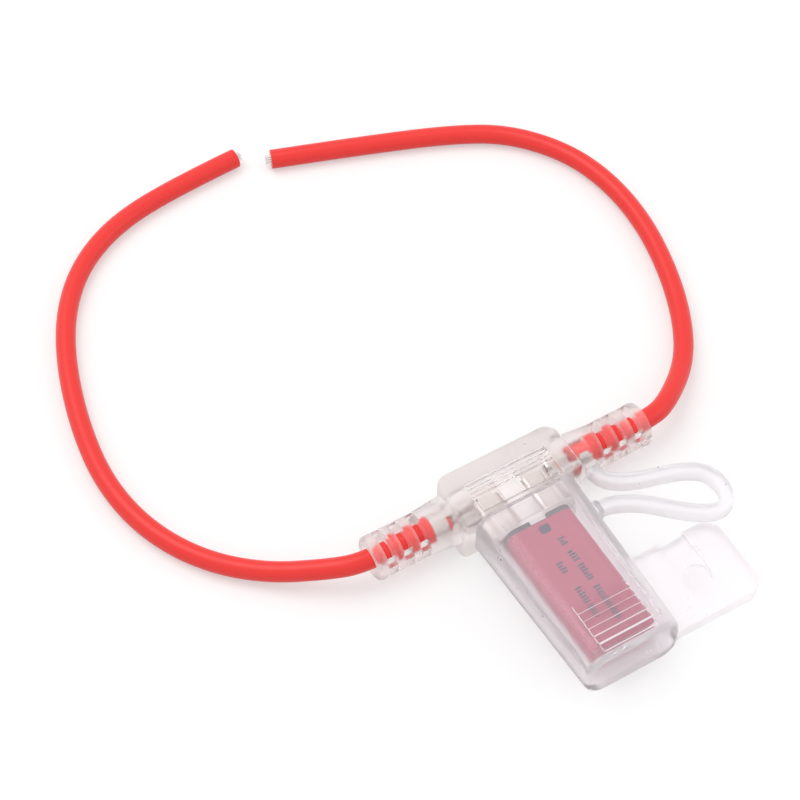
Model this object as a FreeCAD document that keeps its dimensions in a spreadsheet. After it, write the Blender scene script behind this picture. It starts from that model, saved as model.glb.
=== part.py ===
# Inline holder for a blade type circuit breaker, millimetres.
# +X runs along the two leads, -Y is the way the cap pulls off, +Z is up.
# The origin lies under the middle of the holder block, on the surface it rests on.
import FreeCAD, Part
import Sketcher
import math
import os
from FreeCAD import Placement, Rotation, Vector

document = FreeCAD.newDocument("inline_fuse_holder")
sheet = document.addObject("Spreadsheet::Sheet", "Sizes")

SIZES = [
    # holder block
    ("block_length", 20.4),
    ("block_depth", 9.2),
    ("block_height", 9.6),
    ("block_back_corner", 2.2),
    ("block_front_corner", 0.9),
    ("block_edge_round", 0.9),
    # grip window in the top of the block
    ("grip_length", 13.4),
    ("grip_depth", 5.2),
    ("grip_from_front", 0.7),
    ("grip_sink", 0.5),
    ("grip_rib_width", 0.3),
    ("grip_rib_height", 0.35),
    ("grip_rib_pitch", 0.7),
    # cap
    ("cap_gap", 0.1),
    ("cap_length", 28.5),
    ("cap_mouth_width", 16.8),
    ("cap_end_width", 15.4),
    ("cap_end_drop", 0.5),
    ("cap_wall", 1.3),
    ("cap_mouth_room", 1.1),
    ("cap_end_room", 0.625),
    ("cap_end_wall", 1.4),
    ("cap_corner", 3.0),
    ("cap_end_round", 1.0),
    ("cap_fit", 0.15),
    ("cap_rib_count", 6),
    ("cap_rib_pitch", 1.38),
    ("cap_rib_width", 8.9),
    ("cap_rib_radius", 0.8),
    ("cap_rib_depth", 0.4),
    ("cap_rib_from_end", 1.2),
    # mounting tab of the cap
    ("tab_reach", 24.0),
    ("tab_length", 13.7),
    ("tab_from_end", 1.7),
    ("tab_thickness", 2.2),
    ("tab_corner", 2.8),
    ("tab_channel_width", 4.3),
    ("tab_channel_sink", 0.5),
    ("tab_channel_notch", 0.4),
    ("tab_recess_radius", 2.1),
    ("tab_recess_sink", 1.1),
    ("tab_recess_from_side", 7.4),
    ("tab_recess_from_edge", 7.2),
    # neck inside the cap's mouth
    ("neck_length", 3.0),
    ("neck_corner", 1.6),
    # wires
    ("wire_diameter", 3.1),
    ("conductor_diameter", 1.5),
    ("strand_diameter", 0.3),
    ("strand_reach", 0.9),
    # strain reliefs
    ("relief_diameter", 6.8),
    ("relief_root_diameter", 7.7),
    ("relief_length", 13.2),
    ("relief_bore_gap", 0.05),
    ("collar_length", 1.5),
    ("collar_rim", 0.05),
    ("collar_round", 0.6),
    ("collar_flare", 0.5),
    ("slot_length", 1.4),
    ("slot_width", 5.0),
    ("side_slot_width", 1.8),
    ("slot_pitch", 2.75),
    ("slot_from_end", 2.25),
    # terminals
    ("terminal_sheet", 0.4),
    ("terminal_gap", 0.02),
    ("terminal_roll", 0.85),
    ("terminal_inset", 0.4),
    ("terminal_length", 6.8),
    ("roll_lip", 0.1),
    ("link_depth", 1.8),
    ("chamber_gap", 0.08),
    ("crimp_start", 6.6),
    ("crimp_length", 3.2),
    ("crimp_gap", 0.02),
    ("crimp_link_width", 1.0),
    ("crimp_link_sink", 0.1),
    ("grip_crimp_start", 11.0),
    ("grip_crimp_length", 2.4),
    ("grip_crimp_opening", 2.0),
    ("grip_crimp_notch", 2.9),
    ("grip_crimp_tip", 1.3),
    ("insulation_start", 10.3),
    # breaker
    ("blade_pitch", 8.1),
    ("blade_width", 2.8),
    ("blade_thickness", 0.8),
    ("blade_length", 8.1),
    ("blade_tip_chamfer", 0.5),
    ("tang_width", 2.0),
    ("breaker_gap", 0.1),
    ("can_width", 10.9),
    ("can_length", 22.8),
    ("can_thickness", 4.8),
    ("can_wall", 0.4),
    ("can_corner", 1.5),
    ("can_end_round", 0.8),
    ("base_depth", 2.2),
    ("notch_width", 2.8),
    ("notch_depth", 0.7),
    ("contact_radius", 1.1),
    ("contact_height", 0.6),
    ("arm_thickness", 0.3),
    ("arm_length", 15.3),
    ("arm_end_length", 4.6),
    ("arm_side_gap", 0.3),
    ("contact_from_end", 2.4),
    # tether strap
    ("strap_width", 2.0),
    ("strap_height", 2.4),
    ("strap_rise", 0.7),
    ("strap_root_inset", 1.0),
    ("strap_root_reach", 0.6),
    ("strap_end_reach", 1.0),
    ("strap_end_place", 5.4),
]
for row, (alias, value) in enumerate(SIZES, start=1):
    sheet.set("A%d" % row, alias)
    sheet.set("B%d" % row, str(value))
    sheet.setAlias("B%d" % row, alias)

# places that several pieces share, worked out from the sizes above
DERIVED = [
    ("axis_height", "=block_height / 2"),
    ("block_side", "=block_length / 2"),
    ("block_front", "=block_depth / 2"),
    ("relief_end", "=block_side + relief_length"),
    ("wire_bore", "=wire_diameter / 2 + relief_bore_gap"),
    ("crimp_bore", "=wire_diameter / 2 + crimp_gap + terminal_sheet + chamber_gap"),
    ("grip_crimp_end", "=grip_crimp_start + grip_crimp_length"),
    ("root_end", "=relief_end - slot_from_end - 2 * slot_pitch - slot_length / 2"),
    ("split_place", "=relief_end - slot_from_end - slot_pitch / 2"),
    ("neck_face", "=block_front + neck_length"),
    ("neck_side", "=cap_mouth_width / 2 - cap_wall - cap_fit"),
    ("cap_mouth", "=block_front + cap_gap"),
    ("cap_end", "=cap_mouth + cap_length"),
    ("base_face", "=neck_face + breaker_gap"),
    ("can_end", "=base_face + can_length"),
    ("can_bottom", "=axis_height - can_thickness / 2"),
    ("cavity_mouth_low", "=can_bottom - cap_mouth_room"),
    ("cavity_end_low", "=can_bottom - cap_end_room"),
    ("neck_bottom", "=cavity_mouth_low + cap_fit"),
    ("plug_end", "=base_face + base_depth"),
    ("strap_height_place", "=axis_height + strap_rise"),
    ("blade_place", "=blade_pitch / 2"),
    ("blade_bottom", "=axis_height - blade_thickness / 2"),
    ("blade_top", "=axis_height + blade_thickness / 2"),
    ("terminal_mouth", "=neck_face - terminal_inset"),
    ("terminal_back", "=terminal_mouth - terminal_length"),
    ("terminal_floor", "=blade_bottom - terminal_gap"),
    ("terminal_side", "=blade_width / 2 + terminal_roll"),
    ("chamber_height", "=2 * (axis_height - terminal_floor + terminal_sheet + chamber_gap)"),
    ("arm_root", "=plug_end + arm_side_gap"),
    ("arm_end", "=arm_root + arm_length"),
    ("contact_place", "=arm_end - contact_from_end"),
    ("lower_blade_top", "=blade_top - 2 * contact_height"),
    ("can_inside", "=can_width / 2 - can_wall"),
]
for row, (alias, formula) in enumerate(DERIVED, start=len(SIZES) + 2):
    sheet.set("A%d" % row, alias)
    sheet.setAlias("B%d" % row, alias)
    sheet.set("B%d" % row, formula)
document.recompute()


def full(expression):
    """Put the sheet's name before every size that an expression names."""
    names = {alias for alias, rest in SIZES + DERIVED}
    word = ""
    text = ""
    for character in expression + " ":
        if character.isalnum() or character == "_":
            word += character
            continue
        text += ("Sizes." + word) if word in names else word
        text += character
        word = ""
    return text.strip()


def size(expression):
    """The value of an expression in the sheet's sizes."""
    return float(sheet.evalExpression(full(expression)))


def new_body(label):
    body = document.addObject("PartDesign::Body", label)
    body.Label = label
    document.recompute()
    return body


def new_sketch(body, role, offset="0"):
    """A sketch on one of the body's own planes, moved along the plane's normal."""
    plane = [feature for feature in body.Origin.OriginFeatures if feature.Role == role][0]
    sketch = body.newObject("Sketcher::SketchObject", "sketch")
    sketch.AttachmentSupport = [(plane, "")]
    sketch.MapMode = "FlatFace"
    sketch.setExpression("AttachmentOffset.Base.z", full(offset))
    return sketch


def pin_point(sketch, edge, end, place):
    """Hold one end of an edge at a place given by two expressions."""
    for kind, expression in zip(("DistanceX", "DistanceY"), place):
        constraint = Sketcher.Constraint(kind, -1, 1, edge, end, size(expression))
        number = sketch.addConstraint(constraint)
        sketch.setExpression("Constraints[%d]" % number, full(expression))


def polygon(sketch, places):
    """A closed outline of straight edges through places given as expressions."""
    points = [Vector(size(x), size(y), 0) for x, y in places]
    first = sketch.GeometryCount
    count = len(points)
    for index in range(count):
        sketch.addGeometry(Part.LineSegment(points[index], points[(index + 1) % count]), False)
    for index in range(count):
        following = first + (index + 1) % count
        sketch.addConstraint(Sketcher.Constraint("Coincident", first + index, 2, following, 1))
        pin_point(sketch, first + index, 1, places[index])
    return sketch


def rectangle(sketch, left, right, bottom, top):
    return polygon(sketch, [(left, bottom), (right, bottom), (right, top), (left, top)])


def circle(sketch, x, y, radius):
    edge = sketch.addGeometry(Part.Circle(Vector(size(x), size(y), 0), Vector(0, 0, 1), size(radius)), False)
    pin_point(sketch, edge, 3, (x, y))
    number = sketch.addConstraint(Sketcher.Constraint("Radius", edge, size(radius)))
    sketch.setExpression("Constraints[%d]" % number, full(radius))
    return sketch


def rounded_rectangle(sketch, left, right, bottom, top, radius):
    """Four edges and four equal corner arcs, each tangent to its neighbours."""
    r = size(radius)
    x_low, x_high = size(left), size(right)
    y_low, y_high = size(bottom), size(top)
    centres = [(x_low + r, y_low + r), (x_high - r, y_low + r), (x_high - r, y_high - r), (x_low + r, y_high - r)]
    arcs = []
    for index, (x, y) in enumerate(centres):
        start = math.pi + index * math.pi / 2
        corner = Part.Circle(Vector(x, y, 0), Vector(0, 0, 1), r)
        arcs.append(sketch.addGeometry(Part.ArcOfCircle(corner, start, start + math.pi / 2), False))
    places = (("DistanceY", bottom), ("DistanceX", right), ("DistanceY", top), ("DistanceX", left))
    edges = []
    for index, arc in enumerate(arcs):
        following = arcs[(index + 1) % 4]
        edge = sketch.addGeometry(Part.LineSegment(sketch.getPoint(arc, 2), sketch.getPoint(following, 1)), False)
        edges.append(edge)
        sketch.addConstraint(Sketcher.Constraint("Tangent", arc, 2, edge, 1))
        sketch.addConstraint(Sketcher.Constraint("Tangent", edge, 2, following, 1))
        sketch.addConstraint(Sketcher.Constraint("Horizontal" if index % 2 == 0 else "Vertical", edge))
    for arc in arcs[1:]:
        sketch.addConstraint(Sketcher.Constraint("Equal", arcs[0], arc))
    number = sketch.addConstraint(Sketcher.Constraint("Radius", arcs[0], r))
    sketch.setExpression("Constraints[%d]" % number, full(radius))
    for edge, (kind, expression) in zip(edges, places):
        number = sketch.addConstraint(Sketcher.Constraint(kind, -1, 1, edge, 1, size(expression)))
        sketch.setExpression("Constraints[%d]" % number, full(expression))
    return sketch


def pad(body, sketch, length, backwards=False, midplane=False):
    feature = body.newObject("PartDesign::Pad", "pad")
    feature.Profile = sketch
    feature.setExpression("Length", full(length))
    feature.Reversed = backwards
    feature.Midplane = midplane
    document.recompute()
    return feature


def pocket(body, sketch, depth=None, backwards=False, midplane=False):
    """Cut a sketch into the body, all the way through where no depth is given."""
    before = body.Shape.Volume
    feature = body.newObject("PartDesign::Pocket", "pocket")
    feature.Profile = sketch
    if depth is None:
        feature.Type = "ThroughAll"
    else:
        feature.setExpression("Length", full(depth))
    feature.Reversed = backwards
    feature.Midplane = midplane
    document.recompute()
    if not body.Shape.Volume < before - 1e-6:
        raise RuntimeError("a pocket of %s cuts nothing" % body.Label)
    return feature


def turned(body, sketch, kind="PartDesign::Revolution"):
    """Turn a sketch round the body's X axis raised to the wires' height."""
    before = body.Shape.Volume
    line = sketch.addGeometry(Part.LineSegment(Vector(-1, size("axis_height"), 0), Vector(1, size("axis_height"), 0)), True)
    pin_point(sketch, line, 1, ("0 - 1", "axis_height"))
    pin_point(sketch, line, 2, ("0 + 1", "axis_height"))
    document.recompute()
    feature = body.newObject(kind, "turned")
    feature.Profile = sketch
    feature.ReferenceAxis = (sketch, ["Axis0"])
    feature.Angle = 360
    document.recompute()
    change = body.Shape.Volume - before
    if (change < 0) != (kind == "PartDesign::Groove") or abs(change) < 1e-6:
        raise RuntimeError("a turned feature of %s changes nothing" % body.Label)
    return feature


def round_edges(body, radius, wanted):
    """Fillet the edges for which wanted(edge) is true."""
    tip = body.Tip
    names = []
    for number, edge in enumerate(tip.Shape.Edges, start=1):
        if wanted(edge):
            names.append("Edge%d" % number)
    if not names:
        raise RuntimeError("no edge to round on %s" % body.Label)
    feature = body.newObject("PartDesign::Fillet", "fillet")
    feature.Base = (tip, names)
    feature.setExpression("Radius", full(radius))
    document.recompute()
    return feature


def near(value, target):
    return abs(value - target) < 1e-4


# The holder block, its neck, and a strain relief on each side are one moulding.
def make_holder_body():
    body = new_body("holder_body")
    side = size("block_side")
    front = size("block_front")
    sketch = rectangle(new_sketch(body, "XY_Plane"), "-block_side", "block_side", "-block_front", "block_front")
    pad(body, sketch, "block_height")
    round_edges(body, "min(block_back_corner; block_depth / 3)",
                lambda edge: near(abs(edge.CenterOfMass.x), side) and near(edge.CenterOfMass.y, front)
                and near(edge.BoundBox.XLength, 0) and near(edge.BoundBox.YLength, 0))
    round_edges(body, "min(block_front_corner; block_depth / 3)",
                lambda edge: near(abs(edge.CenterOfMass.x), side) and near(edge.CenterOfMass.y, -front)
                and near(edge.BoundBox.XLength, 0) and near(edge.BoundBox.YLength, 0))
    top = size("block_height")
    round_edges(body, "min(block_edge_round; block_height / 4)",
                lambda edge: near(edge.BoundBox.ZLength, 0)
                and (near(edge.CenterOfMass.z, 0) or near(edge.CenterOfMass.z, top)))
    # neck that the cap slides over
    sketch = rounded_rectangle(new_sketch(body, "XZ_Plane", "block_front - 0.5 * cap_wall"), "-neck_side", "neck_side",
                               "neck_bottom", "block_height - neck_bottom", "neck_corner")
    pad(body, sketch, "neck_length + 0.5 * cap_wall")
    # one relief: root, three rings and a collar, turned round the wire
    for side_sign in ("-", ""):
        profile = [
            (side_sign + "(block_side - block_back_corner)", "axis_height"),
            (side_sign + "(block_side - block_back_corner)", "axis_height + relief_root_diameter / 2"),
            (side_sign + "block_side", "axis_height + relief_root_diameter / 2"),
            (side_sign + "root_end", "axis_height + relief_diameter / 2"),
            (side_sign + "(relief_end - collar_length)", "axis_height + relief_diameter / 2"),
            (side_sign + "(relief_end - collar_length)", "axis_height + relief_diameter / 2 + collar_rim"),
            (side_sign + "relief_end", "axis_height + relief_diameter / 2 + collar_rim"),
            (side_sign + "relief_end", "axis_height"),
        ]
        turned(body, polygon(new_sketch(body, "XZ_Plane"), profile))
    collar_face = size("relief_end")
    round_edges(body, "collar_round", lambda edge: near(abs(edge.BoundBox.XMin), collar_face)
                and near(edge.BoundBox.XLength, 0))
    # root of the tether strap on the front of the right relief
    left = "block_side + strap_root_inset"
    sketch = rectangle(new_sketch(body, "XZ_Plane"), left, left + " + strap_width",
                       "strap_height_place - strap_height / 2", "strap_height_place + strap_height / 2")
    pad(body, sketch, "relief_diameter / 2 + strap_root_reach")
    # chambers of the two terminals, open at the neck
    sketch = new_sketch(body, "XZ_Plane", "neck_face")
    for side_sign in ("-", ""):
        near_side = "blade_place - terminal_side - chamber_gap"
        far_side = "blade_place + terminal_side + chamber_gap"
        ends = [side_sign + "(" + near_side + ")", side_sign + "(" + far_side + ")"]
        if side_sign:
            ends.reverse()
        rectangle(sketch, ends[0], ends[1], "axis_height - chamber_height / 2", "axis_height + chamber_height / 2")
    pocket(body, sketch, "neck_face - terminal_back + link_depth + chamber_gap")
    # bores for the crimps and the insulation, with a flared mouth in the collar
    for side_sign in ("-", ""):
        inner = side_sign + "(blade_place + terminal_side)"
        profile = [
            (inner, "axis_height"),
            (inner, "axis_height + crimp_bore"),
            (side_sign + "(grip_crimp_end + chamber_gap)", "axis_height + crimp_bore"),
            (side_sign + "(grip_crimp_end + chamber_gap)", "axis_height + wire_bore"),
            (side_sign + "(relief_end - collar_length)", "axis_height + wire_bore"),
            (side_sign + "relief_end", "axis_height + wire_bore + collar_flare"),
            (side_sign + "relief_end", "axis_height"),
        ]
        turned(body, polygon(new_sketch(body, "XZ_Plane"), profile), "PartDesign::Groove")
    # slots of the reliefs, through from top to bottom and from front to back
    for role, middle, width in (("XY_Plane", "0", "slot_width"), ("XZ_Plane", "axis_height", "side_slot_width")):
        sketch = new_sketch(body, role)
        for station in range(3):
            place = "relief_end - slot_from_end - %d * slot_pitch" % station
            low = "%s - %s / 2" % (middle, width)
            high = "%s + %s / 2" % (middle, width)
            rectangle(sketch, place + " - slot_length / 2", place + " + slot_length / 2", low, high)
            rectangle(sketch, "-(%s) - slot_length / 2" % place, "-(%s) + slot_length / 2" % place, low, high)
        if role == "XY_Plane":
            pocket(body, sketch, None, True)
        else:
            pocket(body, sketch, None, False, True)
    # grip window with its fine ribs
    sketch = new_sketch(body, "XY_Plane", "block_height")
    rectangle(sketch, "-grip_length / 2", "grip_length / 2",
              "grip_from_front - block_front", "grip_from_front + grip_depth - block_front")
    pocket(body, sketch, "grip_sink")
    sketch = new_sketch(body, "XY_Plane", "block_height - grip_sink")
    for rib in range(4):
        back = "grip_from_front + grip_depth - block_front - %.1f * grip_rib_pitch" % (rib + 0.4)
        rectangle(sketch, "-grip_length / 2", "grip_length / 2", back + " - grip_rib_width", back)
    pad(body, sketch, "grip_rib_height")
    return body


# The cap: a tapered box open at the block, with a mounting tab at its closed end.
def make_cap():
    body = new_body("cap")
    drop_top = "block_height - cap_end_drop"
    outer = []
    sections = (("cap_mouth", "cap_mouth_width / 2", "0", "block_height"),
                ("cap_end", "cap_end_width / 2", "cap_end_drop", drop_top))
    for place, half, low, high in sections:
        sketch = new_sketch(body, "XZ_Plane", place)
        outer.append(rounded_rectangle(sketch, "-" + half, half, low, high, "cap_corner"))
    document.recompute()
    loft = body.newObject("PartDesign::AdditiveLoft", "shell")
    loft.Profile = outer[0]
    loft.Sections = [outer[1]]
    loft.Ruled = True
    document.recompute()
    end = -size("cap_end")
    round_edges(body, "cap_end_round", lambda edge: near(edge.BoundBox.YMin, end) and near(edge.BoundBox.YMax, end))
    # mounting tab, flush with the underside
    far = "-(cap_end - tab_from_end)"
    sketch = rectangle(new_sketch(body, "XY_Plane"), "cap_end_width / 2 - cap_corner", "tab_reach",
                       far, far + " + tab_length")
    pad(body, sketch, "tab_thickness")
    reach = size("tab_reach")
    round_edges(body, "tab_corner", lambda edge: near(edge.BoundBox.XMin, reach) and near(edge.BoundBox.YLength, 0))
    # strap root on the right side
    sketch = new_sketch(body, "YZ_Plane", "cap_mouth_width / 2 - cap_wall")
    strap_y = "-(cap_mouth + strap_end_place)"
    rectangle(sketch, strap_y + " - strap_width / 2", strap_y + " + strap_width / 2",
              "strap_height_place - strap_height / 2", "strap_height_place + strap_height / 2")
    pad(body, sketch, "cap_wall + strap_end_reach")
    # cavity, open at the mouth
    inner = []
    share = "(cap_length - cap_end_wall) / cap_length"
    end_half = "(cap_mouth_width / 2 - cap_wall - (cap_mouth_width - cap_end_width) / 2 * %s)" % share
    inner_sections = (("cap_mouth - 1", "(cap_mouth_width / 2 - cap_wall)", "cavity_mouth_low",
                       "block_height - cavity_mouth_low"),
                      ("cap_end - cap_end_wall", end_half, "cavity_end_low", "block_height - cavity_end_low"))
    for place, half, low, high in inner_sections:
        sketch = new_sketch(body, "XZ_Plane", place)
        inner.append(rounded_rectangle(sketch, "-" + half, half, low, high, "cap_corner - cap_wall"))
    document.recompute()
    before = body.Shape.Volume
    cavity = body.newObject("PartDesign::SubtractiveLoft", "cavity")
    cavity.Profile = inner[0]
    cavity.Sections = [inner[1]]
    cavity.Ruled = True
    document.recompute()
    if not body.Shape.Volume < before:
        raise RuntimeError("the cap's cavity cuts nothing")
    # open channel across the tab and the deeper round recess at its end
    middle = far + " + tab_length - tab_recess_from_edge"
    across = "tab_reach - tab_recess_from_side"
    left = across + " - tab_channel_width / 2"
    right = across + " + tab_channel_width / 2"
    sketch = new_sketch(body, "XY_Plane", "tab_thickness")
    rectangle(sketch, left, right, middle, middle + " + tab_recess_from_edge")
    pocket(body, sketch, "tab_channel_sink")
    sketch = new_sketch(body, "XY_Plane", "tab_thickness")
    rectangle(sketch, left, right, far + " + tab_length - tab_channel_notch", far + " + tab_length")
    pocket(body, sketch, "tab_thickness")
    sketch = circle(new_sketch(body, "XY_Plane", "tab_thickness"), across, middle, "tab_recess_radius")
    pocket(body, sketch, "tab_recess_sink")
    # transverse grip grooves in the top near the closed end
    grooves = new_sketch(body, "YZ_Plane")
    for rib in range(int(size("cap_rib_count"))):
        place = "-(cap_end - cap_rib_from_end) + %.1f * cap_rib_pitch" % (rib + 0.5)
        circle(grooves, place, drop_top + " + cap_rib_radius - cap_rib_depth", "cap_rib_radius")
        document.recompute()
    pocket(body, grooves, "cap_rib_width", False, True)
    return body


def rolled_section(sketch, left, right):
    """The receptacle's section: a flat floor whose edges curl up and inwards."""
    low = "terminal_floor - terminal_sheet"
    centre = low + " + terminal_roll"
    inner = size("terminal_roll - terminal_sheet")
    outer = size("terminal_roll")
    tip = math.pi - math.acos(size("roll_lip") / inner)
    places = {"left": (size(left), size(centre)), "right": (size(right), size(centre))}

    def curl(side, radius, start, end):
        middle = Part.Circle(Vector(*places[side], 0), Vector(0, 0, 1), radius)
        return sketch.addGeometry(Part.ArcOfCircle(middle, start, end), False)

    def line(first, first_end, second, second_end):
        edge = Part.LineSegment(sketch.getPoint(first, first_end), sketch.getPoint(second, second_end))
        number = sketch.addGeometry(edge, False)
        sketch.addConstraint(Sketcher.Constraint("Coincident", first, first_end, number, 1))
        sketch.addConstraint(Sketcher.Constraint("Coincident", number, 2, second, second_end))
        return number

    right_outer = curl("right", outer, -math.pi / 2, tip)
    right_inner = curl("right", inner, -math.pi / 2, tip)
    left_outer = curl("left", outer, math.pi - tip, 1.5 * math.pi)
    left_inner = curl("left", inner, math.pi - tip, 1.5 * math.pi)
    line(left_outer, 2, right_outer, 1)
    line(right_outer, 2, right_inner, 2)
    line(right_inner, 1, left_inner, 2)
    line(left_inner, 1, left_outer, 1)
    for arc, place in ((right_outer, right), (right_inner, right), (left_outer, left), (left_inner, left)):
        pin_point(sketch, arc, 3, (place, centre))
    lip = "roll_lip * terminal_roll / (terminal_roll - terminal_sheet)"
    for arc, end, x in ((right_outer, 2, right + " - " + lip), (right_inner, 2, right + " - roll_lip"),
                        (left_outer, 1, left + " + " + lip), (left_inner, 1, left + " + roll_lip")):
        number = sketch.addConstraint(Sketcher.Constraint("DistanceX", -1, 1, arc, end, size(x)))
        sketch.setExpression("Constraints[%d]" % number, full(x))
    for arc, end, x, y in ((right_outer, 1, right, low), (right_inner, 1, right, "terminal_floor"),
                           (left_outer, 2, left, low), (left_inner, 2, left, "terminal_floor")):
        pin_point(sketch, arc, end, (x, y))
    return sketch


# A terminal: a rolled receptacle for one blade and two crimps on the wire.
def make_terminal(label):
    body = new_body(label)
    left = "(blade_place - blade_width / 2)"
    right = "(blade_place + blade_width / 2)"
    # floor under the blade, with both edges of the sheet rolled up and over the blade's edges
    pad(body, rolled_section(new_sketch(body, "XZ_Plane", "terminal_back"), left, right), "terminal_length")
    # link to the crimps, in the plane of the floor
    sketch = polygon(new_sketch(body, "XY_Plane", "terminal_floor - terminal_sheet"), [
        (left + " + 0.2", "-terminal_back - 0.2"),
        (right + " - 0.2", "-terminal_back - 0.2"),
        (right + " - 0.2", "-terminal_back + 0.4"),
        ("crimp_start + 0.3", "-terminal_back + 0.4"),
        ("crimp_start + 0.3", "-terminal_back + link_depth"),
        (left + " + 0.2", "-terminal_back + link_depth"),
    ])
    pad(body, sketch, "terminal_sheet")
    # crimp on the bare conductor, the step, and the crimp on the insulation
    barrel = "axis_height + conductor_diameter / 2 + crimp_gap"
    grip = "axis_height + wire_diameter / 2 + crimp_gap"
    for start, length, inner in (("crimp_start", "crimp_length", barrel),
                                 ("grip_crimp_start", "grip_crimp_length", grip)):
        profile = polygon(new_sketch(body, "XZ_Plane"), [
            (start, inner),
            (start + " + " + length, inner),
            (start + " + " + length, inner + " + terminal_sheet"),
            (start, inner + " + terminal_sheet"),
        ])
        turned(body, profile)
    low = "axis_height - wire_diameter / 2 - crimp_gap - terminal_sheet"
    high = "axis_height - conductor_diameter / 2 - crimp_gap - crimp_link_sink"
    sketch = polygon(new_sketch(body, "XZ_Plane", "-crimp_link_width / 2"), [
        ("crimp_start + crimp_length - 0.3", high + " - terminal_sheet"),
        ("insulation_start - 0.5", low),
        ("grip_crimp_start + 0.3", low),
        ("grip_crimp_start + 0.3", low + " + terminal_sheet"),
        ("insulation_start - 0.1", low + " + terminal_sheet"),
        ("crimp_start + crimp_length", high),
        ("crimp_start + crimp_length - 0.3", high),
    ])
    pad(body, sketch, "crimp_link_width")
    # the insulation crimp is open on its upper side, and its two wings end in tapered tips
    tip_start = "grip_crimp_start + (grip_crimp_length - grip_crimp_tip) / 2"
    tip_end = tip_start + " + grip_crimp_tip"
    half = []
    for place, width in (("grip_crimp_start - 0.1", "grip_crimp_notch"), (tip_start + " - 0.3", "grip_crimp_notch"),
                         (tip_start, "grip_crimp_opening"), (tip_end, "grip_crimp_opening"),
                         (tip_end + " + 0.3", "grip_crimp_notch"), ("grip_crimp_end + 0.1", "grip_crimp_notch")):
        half.append((place, width + " / 2"))
    other = [(place, "-" + width) for place, width in reversed(half)]
    sketch = polygon(new_sketch(body, "XY_Plane", "axis_height"), half + other)
    pocket(body, sketch, "wire_diameter", True)
    return body


# The can: a drawn metal cup with a notch in the middle of each broad side of its rim.
def make_breaker_can():
    body = new_body("breaker_can")
    half = "can_width / 2"
    top = "(can_bottom + can_thickness)"
    sketch = rounded_rectangle(new_sketch(body, "XZ_Plane", "base_face"), "-" + half, half, "can_bottom", top,
                               "can_corner")
    pad(body, sketch, "can_length")
    end = -size("can_end")
    round_edges(body, "can_end_round", lambda edge: near(edge.BoundBox.YMin, end) and near(edge.BoundBox.YMax, end))
    sketch = rounded_rectangle(new_sketch(body, "XZ_Plane", "base_face"), "-" + half + " + can_wall",
                               half + " - can_wall", "can_bottom + can_wall", top + " - can_wall",
                               "can_corner - can_wall")
    pocket(body, sketch, "can_length - can_wall", True)
    sketch = rectangle(new_sketch(body, "XZ_Plane", "base_face"), "-notch_width / 2", "notch_width / 2",
                       "can_bottom", top)
    pocket(body, sketch, "notch_depth", True)
    return body


# The moulded base closes the can and carries both blades.
def make_breaker_base():
    body = new_body("breaker_base")
    low = "(can_bottom + can_wall)"
    high = "(can_bottom + can_thickness - can_wall)"
    sketch = rounded_rectangle(new_sketch(body, "XZ_Plane", "base_face"), "-can_inside", "can_inside", low, high,
                               "can_corner - can_wall")
    pad(body, sketch, "base_depth")
    sketch = new_sketch(body, "XZ_Plane", "base_face")
    for side_sign in ("-", ""):
        ends = [side_sign + "(%s)" % TANG_INNER, side_sign + "(%s)" % TANG_OUTER]
        if side_sign:
            ends.reverse()
        rectangle(sketch, ends[0], ends[1], "blade_bottom", "blade_top")
    pocket(body, sketch, "base_depth", True)
    return body


# inner and outer edge of a blade's tang inside the can
TANG_INNER = "blade_place - blade_width / 2"
TANG_OUTER = "blade_place - blade_width / 2 + tang_width"


# The outer part of a blade, with its chamfered tip and its tang in the base.
def start_blade(label, side_sign):
    body = new_body(label)
    outer = "%s(blade_place + blade_width / 2)" % side_sign
    inner = "%s(blade_place - blade_width / 2)" % side_sign
    toward = "+" if side_sign == "-" else "-"
    away = "-" if side_sign == "-" else "+"
    tip = "(blade_length - base_face)"
    sketch = polygon(new_sketch(body, "XY_Plane", "axis_height"), [
        (outer, "-base_face"),
        (outer, tip + " - blade_tip_chamfer"),
        ("%s %s blade_tip_chamfer" % (outer, toward), tip),
        ("%s %s blade_tip_chamfer" % (inner, away), tip),
        (inner, tip + " - blade_tip_chamfer"),
        (inner, "-base_face"),
    ])
    pad(body, sketch, "blade_thickness", False, True)
    return body


def tang_middle(side_sign):
    return "%s(blade_place - blade_width / 2 + tang_width / 2)" % side_sign


def make_blade_left():
    body = start_blade("blade_left", "-")
    # straight tang that the arm lies on
    sketch = rectangle(new_sketch(body, "YZ_Plane", tang_middle("-")), "-arm_root - 2.5", "-base_face",
                       "blade_bottom", "blade_top")
    pad(body, sketch, "tang_width", False, True)
    return body


def make_blade_right():
    body = start_blade("blade_right", "")
    # tang that steps down and runs on under the arm to the fixed contact
    sketch = polygon(new_sketch(body, "YZ_Plane", tang_middle("")), [
        ("-base_face", "blade_bottom"),
        ("-base_face", "blade_top"),
        ("-plug_end - blade_thickness", "blade_top"),
        ("-plug_end - 2 * blade_thickness", "lower_blade_top"),
        ("-arm_end", "lower_blade_top"),
        ("-arm_end", "lower_blade_top - blade_thickness"),
        ("-plug_end - 2 * blade_thickness", "lower_blade_top - blade_thickness"),
        ("-plug_end - blade_thickness", "lower_blade_top - blade_thickness"),
        ("-plug_end", "blade_bottom"),
    ])
    pad(body, sketch, "tang_width", False, True)
    return body


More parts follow.
